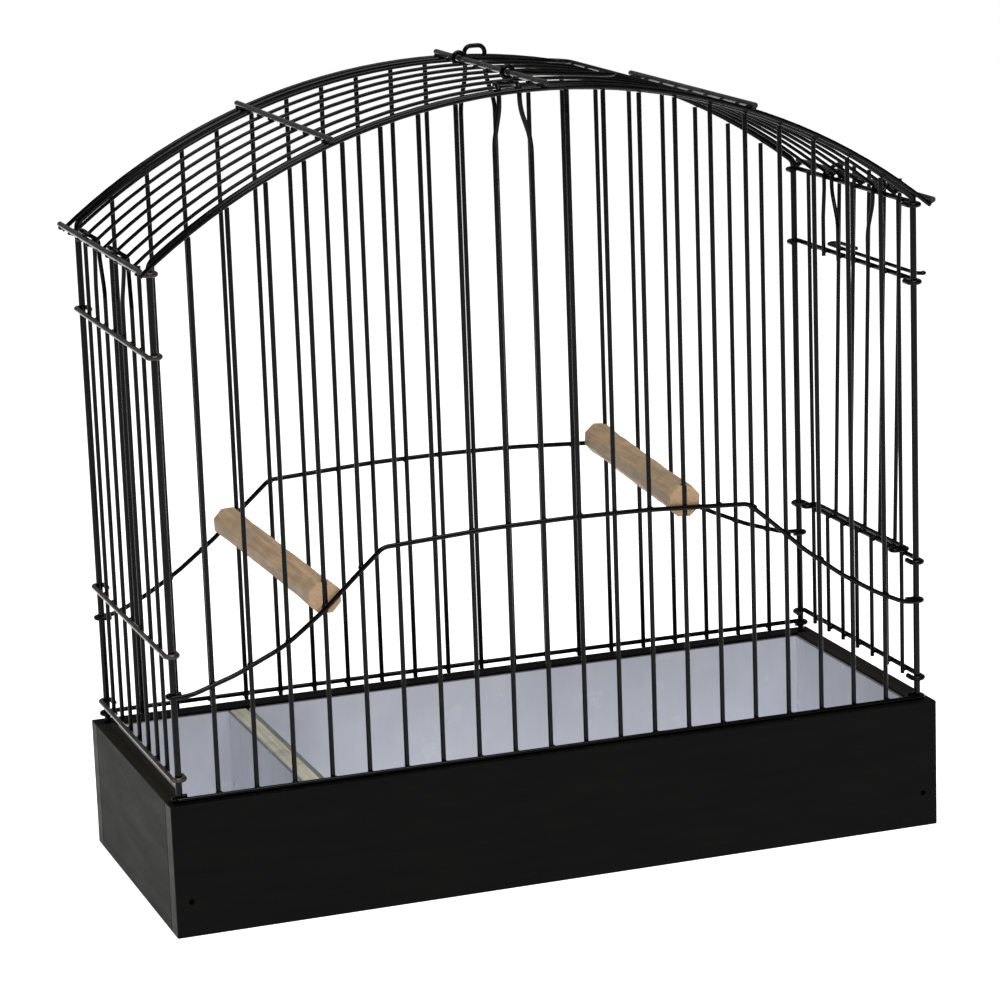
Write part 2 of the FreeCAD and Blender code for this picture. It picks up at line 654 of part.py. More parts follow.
# The eyes hang round the middle rod, and the handle lies folded down to the right on the roof.
middle_rod = Vector(0, 0, arch_height(ROOF_RADIUS + size("rod_wire") / 2 + GAP, 0))
lying = arch_height(ROOF_RADIUS, size("handle_reach")) + size("handle_wire") / 2 + size("handle_lie")
fall = math.degrees(math.asin((middle_rod.z - lying) / size("handle_reach")))
feature(handle(), "carry_handle", Placement(middle_rod, Rotation(Vector(0, 1, 0), fall)))
print(f"handle: eyes' axis at {middle_rod.z:.2f}, lies {fall:.2f} degrees below level")

# ---------------------------------------------------------------- sliding door

RAIL = size("door_rail") / 2
PULL = size("pull_wire") / 2
TILT = math.radians(size("door_tilt"))
RAIL_LINE = BAR_LINE + BAR + size("door_gap") - RAIL - GAP
RAIL_LEVEL = SILL + BAR + RAIL + size("rim_gap")
DOOR_LINE = RAIL_LINE + (RAIL + THIN + GAP) / math.cos(TILT)
GUIDE_ROW = 3 * END_PITCH
TRAVEL = (LINTEL - BAR - size("door_stop") - RAIL - RAIL_LEVEL) / math.cos(TILT)
print(f"door: slides {TRAVEL:.2f} along ({math.sin(TILT):.6f}, 0, {math.cos(TILT):.6f})")


def door_bottom_rail():
    """The door's bottom rail. Each end is a long eye round a guide wire, as deep as the lean moves the door out."""
    half = THIN + size("door_play") + RAIL
    drift = TRAVEL * math.sin(TILT)
    inner = END_LINE - half - drift
    stop = RAIL_LINE - RAIL - GAP
    outer = GUIDE_ROW + half
    near = GUIDE_ROW - half
    spots = [(stop, -near), (inner, -near), (inner, -outer), (RAIL_LINE, -outer)]
    spots += [(RAIL_LINE, outer), (inner, outer), (inner, near), (stop, near)]
    points = [Vector(across, along, RAIL_LEVEL) for across, along in spots]
    return swept(bent(points, [1.9] * 6), size("door_rail"))


def door_upper_rail():
    """The door's upper rail: a finger pull folded back at the far end, a small outward curl at the near end."""
    level = LINTEL + size("pull_rise")
    line = DOOR_LINE + (level - RAIL_LEVEL) * math.tan(TILT) + (THIN + PULL + GAP) / math.cos(TILT)
    out = line + size("pull_width")
    far = GUIDE_ROW + size("pull_corner")
    near = RAIL / 2 - GUIDE_ROW
    spots = [
        (out, far - size("pull_length")),
        (out, far),
        (line, far),
        (line, near + size("curl_slope")),
        (line + size("curl_slope"), near),
        (line + size("curl_reach"), near),
        (line + size("curl_reach"), near + size("curl_return")),
    ]
    points = [Vector(across, along, level) for across, along in spots]
    return swept(bent(points, [2.9, 2.9, 4, 1.5, 1.5]), size("pull_wire"))


feature(door_bottom_rail(), "door_bottom_rail")
feature(door_upper_rail(), "door_upper_rail")

door_wires = []
for number, place in enumerate((-2, -1, 0, 1, 2)):
    wire = doc.addObject("Part::Cylinder", f"door_wire_{number}")
    wire.setExpression("Radius", "Sizes.end_wire / 2")
    wire_foot = "(Sizes.base_height + Sizes.bar_sill + Sizes.bar_wire / 2 + Sizes.rim_gap - Sizes.nub)"
    line = f"({BAR_X} + Sizes.bar_wire / 2 + Sizes.door_gap - Sizes.door_rail / 2 - Sizes.weld_gap)"
    beside = "(Sizes.door_rail / 2 + Sizes.end_wire / 2 + Sizes.weld_gap) / cos(Sizes.door_tilt * 1deg)"
    below_rail = "(Sizes.door_rail / 2 + Sizes.nub)"
    wire.setExpression("Height", f"({EAVES} + Sizes.door_head - {wire_foot}) / cos(Sizes.door_tilt * 1deg)")
    wire.Placement = Placement(Vector(), Rotation(Vector(0, 1, 0), size("door_tilt")))
    wire.setExpression("Placement.Base.x", f"{line} + {beside} - {below_rail} * tan(Sizes.door_tilt * 1deg)")
    wire.setExpression("Placement.Base.y", f"{2 * place} * {POST_Y} / Sizes.end_gaps")
    wire.setExpression("Placement.Base.z", wire_foot)
    door_wires.append(wire)
group(door_wires, "door_wires")

# ---------------------------------------------------------------- perches


def perch(side, front_number, back_number):
    """An eight-sided wooden perch from panel to panel, notched at each end for the upright wire of that number."""
    label = "perch_" + side
    reach = CROSS_ROW - PANEL - size("perch_stop")
    wires = {
        -1: wire_place(PITCH * front_number - PLACE, -1),
        1: wire_place(PITCH * back_number - PLACE, 1),
    }
    front = Vector(wires[-1], -reach, RIM + size(side + "_front"))
    back = Vector(wires[1] + size(side + "_skew"), reach, RIM + size(side + "_back"))
    block = 4 * size("perch_width")
    along = (back - front).normalize()
    prism = doc.addObject("Part::Prism", label + "_stick")
    prism.Polygon = 8
    prism.setExpression("Circumradius", "Sizes.perch_width / 2")
    prism.setExpression("Height", "Sizes.base_depth + 2 * Sizes.perch_width")
    turn = Rotation(Vector(0, 0, 1), along) * Rotation(Vector(0, 0, 1), 22.5)
    prism.Placement = Placement(front - along * size("perch_width"), turn)
    middle = (front + back) / 2
    span = doc.addObject("Part::Box", label + "_span")
    span.Length = block
    span.Width = 2 * reach
    span.Height = block
    span.Placement = Placement(Vector(middle.x - block / 2, -reach, middle.z - block / 2), Rotation())
    whole = doc.addObject("Part::Common", label + "_length")
    whole.Base = prism
    whole.Tool = span
    slot = 2 * (PANEL + size("perch_play"))
    depth = reach - (UPRIGHT_ROW - slot / 2)
    for end, sign in (("front", -1), ("back", 1)):
        notch = doc.addObject("Part::Box", f"{label}_{end}_notch")
        notch.Length = slot
        notch.Width = 2 * depth
        notch.Height = block
        corner = Vector(wires[sign] - slot / 2, sign * reach - depth, middle.z - block / 2)
        notch.Placement = Placement(corner, Rotation())
        cut = doc.addObject("Part::Cut", f"{label}_{end}_cut")
        cut.Base = whole
        cut.Tool = notch
        whole = cut
    return keep(whole, label)


perch("left", 4, 4)
perch("right", 14, 15)

# ---------------------------------------------------------------- checks and files

doc.recompute()
for item in doc.Objects:
    if "Invalid" in item.State or "Error" in item.State:
        raise ValueError(f"{item.Label} failed: {item.State}")
os.makedirs("parts", exist_ok=True)
for item in nodes:
    shape = item.Shape
    if shape.isNull() or not shape.isValid() or shape.Volume <= 0:
        raise ValueError(f"{item.Label} has no valid solid")
    shape.exportStep(f"parts/{item.Label}.step")
    print(f"{item.Label}: {len(shape.Solids)} solids, {shape.Volume:.1f} mm3")
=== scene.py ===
import logging
import math
import random
from dataclasses import dataclass, field
from enum import Enum

import bmesh
import bpy
from mathutils import Matrix, Vector, noise as field_noise
from mathutils.bvhtree import BVHTree


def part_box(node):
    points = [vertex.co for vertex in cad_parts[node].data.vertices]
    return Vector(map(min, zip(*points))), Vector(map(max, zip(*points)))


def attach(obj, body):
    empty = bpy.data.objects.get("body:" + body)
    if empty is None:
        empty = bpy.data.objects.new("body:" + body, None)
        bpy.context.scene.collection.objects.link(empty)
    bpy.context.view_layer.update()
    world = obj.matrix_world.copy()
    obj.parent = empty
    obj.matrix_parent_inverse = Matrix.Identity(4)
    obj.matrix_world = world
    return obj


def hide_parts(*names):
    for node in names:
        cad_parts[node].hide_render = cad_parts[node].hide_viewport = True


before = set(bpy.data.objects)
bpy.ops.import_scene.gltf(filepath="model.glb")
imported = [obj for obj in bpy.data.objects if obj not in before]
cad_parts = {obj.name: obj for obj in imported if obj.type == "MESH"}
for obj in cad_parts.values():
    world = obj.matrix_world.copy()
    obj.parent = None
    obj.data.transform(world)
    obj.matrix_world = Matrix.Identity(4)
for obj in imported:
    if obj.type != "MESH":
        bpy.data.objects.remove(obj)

log = logging.getLogger("bird_cage")
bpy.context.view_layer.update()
MM = 0.001
JOINED = 0.002 * MM

Socket = bpy.types.NodeSocket
Tree = bpy.types.NodeTree
Material = bpy.types.Material
Box = tuple[Vector, Vector]


class Body(str, Enum):
    """The rigid bodies that pieces ride on."""

    BASE = "base"
    CAGE = "cage"
    DOOR = "door"


class Slot(str, Enum):
    """The record's material slots, listed beside the boards; no piece is given one here."""

    BLACK_WOOD = "black_wood"
    RAW_WOOD = "raw_wood"
    PERCH = "perch_wood"
    WIRE = "black_wire"


class Node(str, Enum):
    """The kinds of shader node that the finishes use."""

    NOISE = "ShaderNodeTexNoise"
    RAMP = "ShaderNodeValToRGB"
    RANGE = "ShaderNodeMapRange"
    MIX = "ShaderNodeMix"
    MATH = "ShaderNodeMath"
    MAPPING = "ShaderNodeMapping"
    SPLIT = "ShaderNodeSeparateXYZ"
    PLACE = "ShaderNodeTexCoord"
    BUMP = "ShaderNodeBump"
    RAY = "ShaderNodeLightPath"


# ------------------------------------------------------------------ colours and nodes


def linear(code: str) -> tuple[float, float, float, float]:
    """Turns an sRGB hex colour to linear light.

    Args:
        code: six hex digits after a hash.

    Returns:
        Linear red, green, blue and an alpha of 1.
    """
    parts = [int(code[i : i + 2], 16) / 255 for i in (1, 3, 5)]
    light = [p / 12.92 if p <= 0.04045 else ((p + 0.055) / 1.055) ** 2.4 for p in parts]
    return (light[0], light[1], light[2], 1.0)


@dataclass(frozen=True)
class Pattern:
    """An uneven pattern: the size of its features in millimetres, its fineness and its roughness."""

    size: float
    detail: float
    rough: float = 0.55

    def settings(self) -> dict[str, float]:
        """The pattern as settings, with its scale for Object coordinates in metres."""
        return {"Scale": 1.0 / (self.size * MM), "Detail": self.detail, "Roughness": self.rough}


def add_node(
    tree: Tree, kind: Node, settings: dict | None = None, links: dict | None = None, out: int | str = 0
) -> Socket:
    """Adds a shader node.

    Args:
        tree: the node tree.
        kind: the kind of node.
        settings: attributes, input values by the input's name, or stops as place and hex colour.
        links: output sockets to join to inputs, by input name or number.
        out: the output to hand back, by name or number.

    Returns:
        That output of the new node.
    """
    node = tree.nodes.new(kind.value)
    for name, value in (settings or {}).items():
        if name == "stops":
            elements = node.color_ramp.elements
            for element, (place, code) in zip(elements, value):
                element.position = place
                element.color = linear(code)
        elif name in node.inputs:
            node.inputs[name].default_value = value
        else:
            setattr(node, name, value)
    for name, socket in (links or {}).items():
        tree.links.new(socket, node.inputs[name])
    return node.outputs[out]


@dataclass(frozen=True)
class Coat:
    """A material in the making, with its Principled shader and its Object coordinates."""

    material: Material
    tree: Tree
    shader: bpy.types.Node
    place: Socket

    @classmethod
    def named(cls, name: str) -> "Coat":
        """Starts a material.

        Args:
            name: the material's name.

        Returns:
            The coat to build on.
        """
        material = bpy.data.materials.new(name)
        material.use_nodes = True
        tree = material.node_tree
        shader = next(n for n in tree.nodes if n.type == "BSDF_PRINCIPLED")
        return cls(material, tree, shader, add_node(tree, Node.PLACE, out="Object"))

    def add(self, kind: Node, settings: dict, links: dict, out: int | str = 0) -> Socket:
        """Adds a node to this material and hands back one of its outputs."""
        return add_node(self.tree, kind, settings, links, out)

    def finish(self, values: dict[str, float], links: dict[str, Socket]) -> Material:
        """Sets the shader's own values and joins its inputs.

        Args:
            values: numbers that are the same all over the surface, by input name.
            links: sockets that vary over the surface, by input name.

        Returns:
            The finished material.
        """
        for name, value in values.items():
            self.shader.inputs[name].default_value = value
        for name, socket in links.items():
            self.tree.links.new(socket, self.shader.inputs[name])
        return self.material


# ------------------------------------------------------------------ finishes


@dataclass(frozen=True)
class WireEnamel:
    """Drawn steel wire dipped in black enamel.

    It gives the eye a deep black with thin bright lines, slightly lumpy and dusty in places.
    """

    paint: str = "#020202"
    # Real dust by default; the rods and left bars give this a greyer colour as painted highlight.
    dust_and_highlight: str = "#0A0908"
    steel: str = "#4B4640"
    dark_steel: str = "#2E2A25"
    gloss: float = 0.1
    dull: float = 0.14
    shine: float = 0.1
    lumps: Pattern = Pattern(3.0, 3.0)
    lump_height: float = 0.05 * MM
    grime: Pattern = Pattern(9.0, 6.0, 0.65)
    rubs: Pattern = Pattern(5.0, 8.0, 0.7)

    def make(self, name: str) -> Material:
        """Builds the material.

        Args:
            name: its name.

        Returns:
            The material.
        """
        coat = Coat.named(name)
        lumps = coat.add(Node.NOISE, self.lumps.settings(), {"Vector": coat.place})
        grime = coat.add(Node.NOISE, self.grime.settings(), {"Vector": coat.place})
        rubs = coat.add(Node.NOISE, self.rubs.settings(), {"Vector": coat.place})
        black = coat.add(Node.RAMP, {"stops": ((0.45, self.paint), (0.75, self.dust_and_highlight))}, {"Fac": grime})
        bare = coat.add(Node.RAMP, {"stops": ((0.3, self.steel), (0.7, self.dark_steel))}, {"Fac": lumps})
        worn = coat.add(Node.RANGE, {"From Min": 0.72, "From Max": 0.76}, {"Value": rubs})
        colour = coat.add(Node.MIX, {"data_type": "RGBA"}, {0: worn, 6: black, 7: bare}, 2)
        spread = {"From Min": 0.35, "From Max": 0.75, "To Min": self.gloss, "To Max": self.gloss + self.dull}
        rough = coat.add(Node.RANGE, spread, {"Value": grime})
        normal = coat.add(Node.BUMP, {"Strength": 1.0, "Distance": self.lump_height}, {"Height": lumps})
        values = {"IOR": 1.5, "Specular IOR Level": self.shine}
        return coat.finish(values, {"Base Color": colour, "Roughness": rough, "Normal": normal})


@dataclass(frozen=True)
class BlackPaintOnWood:
    """Softwood boards brushed with black paint.

    It gives the eye a nearly matt black with faint grain and brush lines, greyer on faces that look
    along X as a painted sheen of light from the left, rubbed brown at the rim and with a few pale specks.
    """

    paint: str = "#060606"
    brushed: str = "#0B0B0A"
    # Painted sheen: the greyer colours of faces that look along X stand in for light from the left.
    painted_sheen_paint: str = "#252521"
    painted_sheen_brushed: str = "#2D2D28"
    rub: str = "#4A2B22"
    bare: str = "#8C7A60"
    speck: str = "#6E675A"
    squeeze: tuple[float, float, float] = (0.06, 1.0, 1.0)
    rim: float = 59.0 * MM
    sheen: float = 0.04
    fibres: Pattern = Pattern(1.6, 8.0, 0.65)
    fibre_height: float = 0.16 * MM
    strokes: Pattern = Pattern(6.0, 5.0, 0.6)
    blotches: Pattern = Pattern(26.0, 5.0, 0.6)
    chips: Pattern = Pattern(4.5, 10.0, 0.72)
    specks: Pattern = Pattern(2.6, 6.0, 0.8)

    def black(self, coat: Coat, strokes: Socket) -> Socket:
        """The paint's colour plus painted sheen: greyer on faces that look along X, as if lit from the left.

        Args:
            coat: the material.
            strokes: the brush lines.

        Returns:
            The colour.
        """
        long_stops = {"stops": ((0.35, self.paint), (0.75, self.brushed))}
        painted_sheen_stops = {"stops": ((0.35, self.painted_sheen_paint), (0.75, self.painted_sheen_brushed))}
        long_face = coat.add(Node.RAMP, long_stops, {"Fac": strokes})
        painted_sheen_face = coat.add(Node.RAMP, painted_sheen_stops, {"Fac": strokes})
        facing = coat.add(Node.PLACE, {}, {}, "Normal")
        sideways = coat.add(Node.SPLIT, {}, {"Vector": facing}, "X")
        turned = coat.add(Node.MATH, {"operation": "ABSOLUTE"}, {0: sideways})
        share = coat.add(Node.RANGE, {"From Min": 0.5, "From Max": 0.9}, {"Value": turned})
        return coat.add(Node.MIX, {"data_type": "RGBA"}, {0: share, 6: long_face, 7: painted_sheen_face}, 2)

    def make(self, name: str) -> Material:
        """Builds the material.

        Args:
            name: its name.

        Returns:
            The material.
        """
        coat = Coat.named(name)
        along = coat.add(Node.MAPPING, {"Scale": self.squeeze}, {"Vector": coat.place})
        brush = coat.add(Node.MAPPING, {"Scale": (0.15, 0.15, 1.0)}, {"Vector": coat.place})
        fibres = coat.add(Node.NOISE, self.fibres.settings(), {"Vector": along})
        strokes = coat.add(Node.NOISE, self.strokes.settings(), {"Vector": brush})
        blotches = coat.add(Node.NOISE, self.blotches.settings(), {"Vector": coat.place})
        chips = coat.add(Node.NOISE, self.chips.settings(), {"Vector": coat.place})
        specks = coat.add(Node.NOISE, self.specks.settings(), {"Vector": coat.place})
        height = coat.add(Node.SPLIT, {}, {"Vector": coat.place}, "Z")
        rim = {"From Min": self.rim - 1.6 * MM, "From Max": self.rim - 0.2 * MM}
        near_rim = coat.add(Node.RANGE, rim, {"Value": height})
        chipped = coat.add(Node.RANGE, {"From Min": 0.64, "From Max": 0.7}, {"Value": chips})
        rubbed = coat.add(Node.MATH, {"operation": "MULTIPLY"}, {0: chipped, 1: near_rim})
        wood = coat.add(Node.RAMP, {"stops": ((0.35, self.rub), (0.65, self.bare))}, {"Fac": fibres})
        black = self.black(coat, strokes)
        colour = coat.add(Node.MIX, {"data_type": "RGBA"}, {0: rubbed, 6: black, 7: wood}, 2)
        dotted = coat.add(Node.RANGE, {"From Min": 0.75, "From Max": 0.765}, {"Value": specks})
        dot = coat.add(Node.RAMP, {"stops": ((0.3, self.rub), (0.7, self.speck))}, {"Fac": blotches})
        colour = coat.add(Node.MIX, {"data_type": "RGBA"}, {0: dotted, 6: colour, 7: dot}, 2)
        spread = {"From Min": 0.3, "From Max": 0.7, "To Min": 0.42, "To Max": 0.58}
        rough = coat.add(Node.RANGE, spread, {"Value": strokes})
        normal = coat.add(Node.BUMP, {"Strength": 1.0, "Distance": self.fibre_height}, {"Height": fibres})
        values = {"IOR": 1.5, "Specular IOR Level": self.sheen}
        return coat.finish(values, {"Base Color": colour, "Roughness": rough, "Normal": normal})


@dataclass(frozen=True)
class BareSoftwood:
    """Bare sawn softwood, grey with age and dirt. It gives the eye a matt surface with straight grain."""

    light: str = "#B4B3A4"
    dark: str = "#918E7E"
    stain: str = "#6F6A5C"
    squeeze: tuple[float, float, float] = (1.0, 0.05, 1.0)
    rings: Pattern = Pattern(2.2, 8.0, 0.6)
    fibres: Pattern = Pattern(0.6, 4.0, 0.6)
    fibre_height: float = 0.15 * MM
    dirt: Pattern = Pattern(12.0, 7.0, 0.65)

    def make(self, name: str) -> Material:
        """Builds the material, with its grain along Y.

        Args:
            name: its name.

        Returns:
            The material.
        """
        coat = Coat.named(name)
        along = coat.add(Node.MAPPING, {"Scale": self.squeeze}, {"Vector": coat.place})
        rings = coat.add(Node.NOISE, self.rings.settings(), {"Vector": along})
        fibres = coat.add(Node.NOISE, self.fibres.settings(), {"Vector": along})
        dirt = coat.add(Node.NOISE, self.dirt.settings(), {"Vector": coat.place})
        clean = coat.add(Node.RAMP, {"stops": ((0.3, self.dark), (0.62, self.light))}, {"Fac": rings})
        grime = coat.add(Node.RAMP, {"stops": ((0.3, self.stain), (0.8, self.dark))}, {"Fac": fibres})
        soiled = coat.add(Node.RANGE, {"From Min": 0.5, "From Max": 0.72, "To Max": 0.7}, {"Value": dirt})
        colour = coat.add(Node.MIX, {"data_type": "RGBA"}, {0: soiled, 6: clean, 7: grime}, 2)
        normal = coat.add(Node.BUMP, {"Strength": 1.0, "Distance": self.fibre_height}, {"Height": fibres})
        return coat.finish({"Roughness": 0.72}, {"Base Color": colour, "Normal": normal})


@dataclass(frozen=True)
class WhittledBeech:
    """Beech whittled to eight sides by hand.

    It gives the eye a pinkish tan with short dark flecks, greyed by handling, and browner end grain.
    """

    light: str = "#A68D70"
    dark: str = "#836A50"
    grey: str = "#81786A"
    end_grain: str = "#8E6C4C"
    fleck: str = "#6A4F38"
    squeeze: tuple[float, float, float] = (1.0, 0.045, 1.0)
    grain: Pattern = Pattern(1.8, 7.0, 0.6)
    fibres: Pattern = Pattern(0.45, 4.0, 0.6)
    fibre_height: float = 0.14 * MM
    flecks: Pattern = Pattern(0.8, 3.0, 0.5)
    handled: Pattern = Pattern(16.0, 6.0, 0.65)
    rings: Pattern = Pattern(1.1, 5.0, 0.7)

    def make(self, name: str) -> Material:
        """Builds the material, with its grain along Y.

        Args:
            name: its name.

        Returns:
            The material.
        """
        coat = Coat.named(name)
        along = coat.add(Node.MAPPING, {"Scale": self.squeeze}, {"Vector": coat.place})
        short = coat.add(Node.MAPPING, {"Scale": (1.0, 0.22, 1.0)}, {"Vector": coat.place})
        grain = coat.add(Node.NOISE, self.grain.settings(), {"Vector": along})
        fibres = coat.add(Node.NOISE, self.fibres.settings(), {"Vector": along})
        flecks = coat.add(Node.NOISE, self.flecks.settings(), {"Vector": short})
        handled = coat.add(Node.NOISE, self.handled.settings(), {"Vector": coat.place})
        rings = coat.add(Node.NOISE, self.rings.settings(), {"Vector": coat.place})
        colour = coat.add(Node.RAMP, {"stops": ((0.32, self.dark), (0.62, self.light))}, {"Fac": grain})
        grey = coat.add(Node.RAMP, {"stops": ((0.3, self.dark), (0.75, self.grey))}, {"Fac": fibres})
        spot = coat.add(Node.RAMP, {"stops": ((0.3, self.fleck), (0.8, self.dark))}, {"Fac": grain})
        end = coat.add(Node.RAMP, {"stops": ((0.35, self.end_grain), (0.7, self.light))}, {"Fac": rings})
        facing = coat.add(Node.PLACE, {}, {}, "Normal")
        endways = coat.add(Node.SPLIT, {}, {"Vector": facing}, "Y")
        turned = coat.add(Node.MATH, {"operation": "ABSOLUTE"}, {0: endways})
        for source, low, high, most, over in (
            (handled, 0.44, 0.68, 0.8, grey),
            (flecks, 0.66, 0.72, 0.7, spot),
            (turned, 0.6, 0.9, 0.85, end),
        ):
            spread = {"From Min": low, "From Max": high, "To Max": most}
            share = coat.add(Node.RANGE, spread, {"Value": source})
            colour = coat.add(Node.MIX, {"data_type": "RGBA"}, {0: share, 6: colour, 7: over}, 2)
        spread = {"From Min": 0.3, "From Max": 0.7, "To Min": 0.5, "To Max": 0.68}
        rough = coat.add(Node.RANGE, spread, {"Value": handled})
        normal = coat.add(Node.BUMP, {"Strength": 1.0, "Distance": self.fibre_height}, {"Height": fibres})
        return coat.finish({}, {"Base Color": colour, "Roughness": rough, "Normal": normal})


@dataclass(frozen=True)
class PaleSheet:
    """Thin steel sheet lacquered a pale blue-grey and folded to a tray.

    It gives the eye a smooth satin face with faint stains and upright creases, and a bare, dull cut
    edge at the rim.
    """

    rim: float
    face: str = "#D3D5DD"
    shade: str = "#C9CCD5"
    stain: str = "#A39E92"
    cut_edge: str = "#5E6064"
    cut_light: str = "#76787B"
    clouds: Pattern = Pattern(30.0, 5.0)
    spots: Pattern = Pattern(5.0, 8.0, 0.75)
    creases: Pattern = Pattern(7.0, 4.0)
    crease_height: float = 0.6 * MM

    def make(self, name: str) -> Material:
        """Builds the material.

        Args:
            name: its name.

        Returns:
            The material.
        """
        coat = Coat.named(name)
        upright = coat.add(Node.MAPPING, {"Scale": (1.0, 1.0, 0.12)}, {"Vector": coat.place})
        clouds = coat.add(Node.NOISE, self.clouds.settings(), {"Vector": coat.place})
        spots = coat.add(Node.NOISE, self.spots.settings(), {"Vector": coat.place})
        creases = coat.add(Node.NOISE, self.creases.settings(), {"Vector": upright})
        height = coat.add(Node.SPLIT, {}, {"Vector": coat.place}, "Z")
        colour = coat.add(Node.RAMP, {"stops": ((0.3, self.shade), (0.65, self.face))}, {"Fac": clouds})
        marks = coat.add(Node.RAMP, {"stops": ((0.3, self.stain), (0.7, self.shade))}, {"Fac": clouds})
        steel = coat.add(Node.RAMP, {"stops": ((0.3, self.cut_edge), (0.7, self.cut_light))}, {"Fac": clouds})
        stained = coat.add(Node.RANGE, {"From Min": 0.66, "From Max": 0.78, "To Max": 0.5}, {"Value": spots})
        colour = coat.add(Node.MIX, {"data_type": "RGBA"}, {0: stained, 6: colour, 7: marks}, 2)
        rim = {"From Min": self.rim - 0.25 * MM, "From Max": self.rim - 0.1 * MM}
        edge = coat.add(Node.RANGE, rim, {"Value": height})
        colour = coat.add(Node.MIX, {"data_type": "RGBA"}, {0: edge, 6: colour, 7: steel}, 2)
        spread = {"From Min": 0.3, "From Max": 0.7, "To Min": 0.2, "To Max": 0.3}
        rough = coat.add(Node.RANGE, spread, {"Value": clouds})
        normal = coat.add(Node.BUMP, {"Strength": 1.0, "Distance": self.crease_height}, {"Height": creases})
        return coat.finish({"IOR": 1.5}, {"Base Color": colour, "Roughness": rough, "Normal": normal})


# ------------------------------------------------------------------ meshes


def piece_from(
    mesh: bmesh.types.BMesh, name: str, body: Body, material: Material, smooth: bool = True
) -> bpy.types.Object:
    """Turns a bmesh into a piece that rides on a body.

    Args:
        mesh: the finished bmesh, freed here.
        name: the piece's name.
        body: the body it rides on.
        material: its finish.
        smooth: whether faces are shaded smooth.

    Returns:
        The new object.
    """
    data = bpy.data.meshes.new(name)
    bmesh.ops.recalc_face_normals(mesh, faces=mesh.faces)
    mesh.to_mesh(data)
    mesh.free()
    piece = bpy.data.objects.new(name, data)
    bpy.context.scene.collection.objects.link(piece)
    data.materials.append(material)
    for face in data.polygons:
        face.use_smooth = smooth
    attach(piece, body.value)
    log.info("%s: %d faces on %s", name, len(data.polygons), body.value)
    return piece


def dress(names: list[str], material: Material) -> None:
    """Gives CAD nodes a finish.

    Args:
        names: the nodes.
        material: the finish.
    """
    for name in names:
        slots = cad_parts[name].data.materials
        if not slots:
            slots.append(material)
        for number in range(len(slots)):
            slots[number] = material
        log.info("%s: %s", name, material.name)


def merged(name: str) -> bmesh.types.BMesh:
    """A copy of a CAD node's mesh with its loose triangles joined.

    Args:
        name: the node.

    Returns:
        A bmesh to measure or to shape further.
    """
    mesh = bmesh.new()
    mesh.from_mesh(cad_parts[name].data)
    bmesh.ops.remove_doubles(mesh, verts=mesh.verts, dist=JOINED)
    return mesh


def whole_faced(name: str) -> bmesh.types.BMesh:
    """A merged copy of a CAD node whose flat faces are whole again.

    Args:
        name: the node.

    Returns:
        A bmesh to shape further.
    """
    mesh = merged(name)
    bmesh.ops.dissolve_limit(mesh, angle_limit=math.radians(1), verts=mesh.verts, edges=mesh.edges)
    return mesh


def islands(name: str) -> list[Box]:
    """The box of each separate solid in a CAD node.

    Args:
        name: the node.

    Returns:
        Lowest and highest corner of each solid.
    """
    mesh = merged(name)
    left = set(mesh.verts)
    boxes = []
    while left:
        reached = [left.pop()]
        points = []
        while reached:
            vertex = reached.pop()
            points.append(vertex.co.copy())
            for edge in vertex.link_edges:
                other = edge.other_vert(vertex)
                if other in left:
                    left.remove(other)
                    reached.append(other)
        boxes.append(tuple(Vector(pick(p[i] for p in points) for i in range(3)) for pick in (min, max)))
    mesh.free()
    # A set has no order of its own, so the boxes are sorted to give the same cage each run.
    return sorted(boxes, key=lambda box: (*box[0], *box[1]))


def middle(box: Box) -> Vector:
    """The centre of a box."""
    return (box[0] + box[1]) / 2


def node_box(name: str) -> Box:
    """A node's box as two vectors."""
    low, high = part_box(name)
    return Vector(low), Vector(high)


def surface(name: str) -> BVHTree:
    """A search tree on a CAD node's faces.

    Args:
        name: the node.

    Returns:
        The tree.
    """
    mesh = bmesh.new()
    mesh.from_mesh(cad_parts[name].data)
    tree = BVHTree.FromBMesh(mesh)
    mesh.free()
    return tree


@dataclass
class Beads:
    """Small lumps of solder under the paint, one where each pair of wires crosses."""

    name: str
    body: Body
    radius: Vector
    seed: int
    spots: list[Vector]
    swell: tuple[float, float] = (0.85, 1.15)
    drift: float = 0.2 * MM

    def build(self, material: Material) -> None:
        """Makes one mesh of all the lumps, each a little different.

        Args:
            material: their finish.
        """
        dice = random.Random(self.seed)
        mesh = bmesh.new()
        for spot in self.spots:
            lump = bmesh.ops.create_icosphere(mesh, subdivisions=2, radius=1.0)["verts"]
            sizes = Vector(r * dice.uniform(*self.swell) for r in self.radius)
            bmesh.ops.scale(mesh, vec=sizes, verts=lump)
            shift = Vector((dice.uniform(-self.drift, self.drift), 0, dice.uniform(-self.drift, self.drift)))
            bmesh.ops.translate(mesh, vec=spot + shift, verts=lump)
        piece_from(mesh, self.name, self.body, material)


# ------------------------------------------------------------------ sub-assemblies


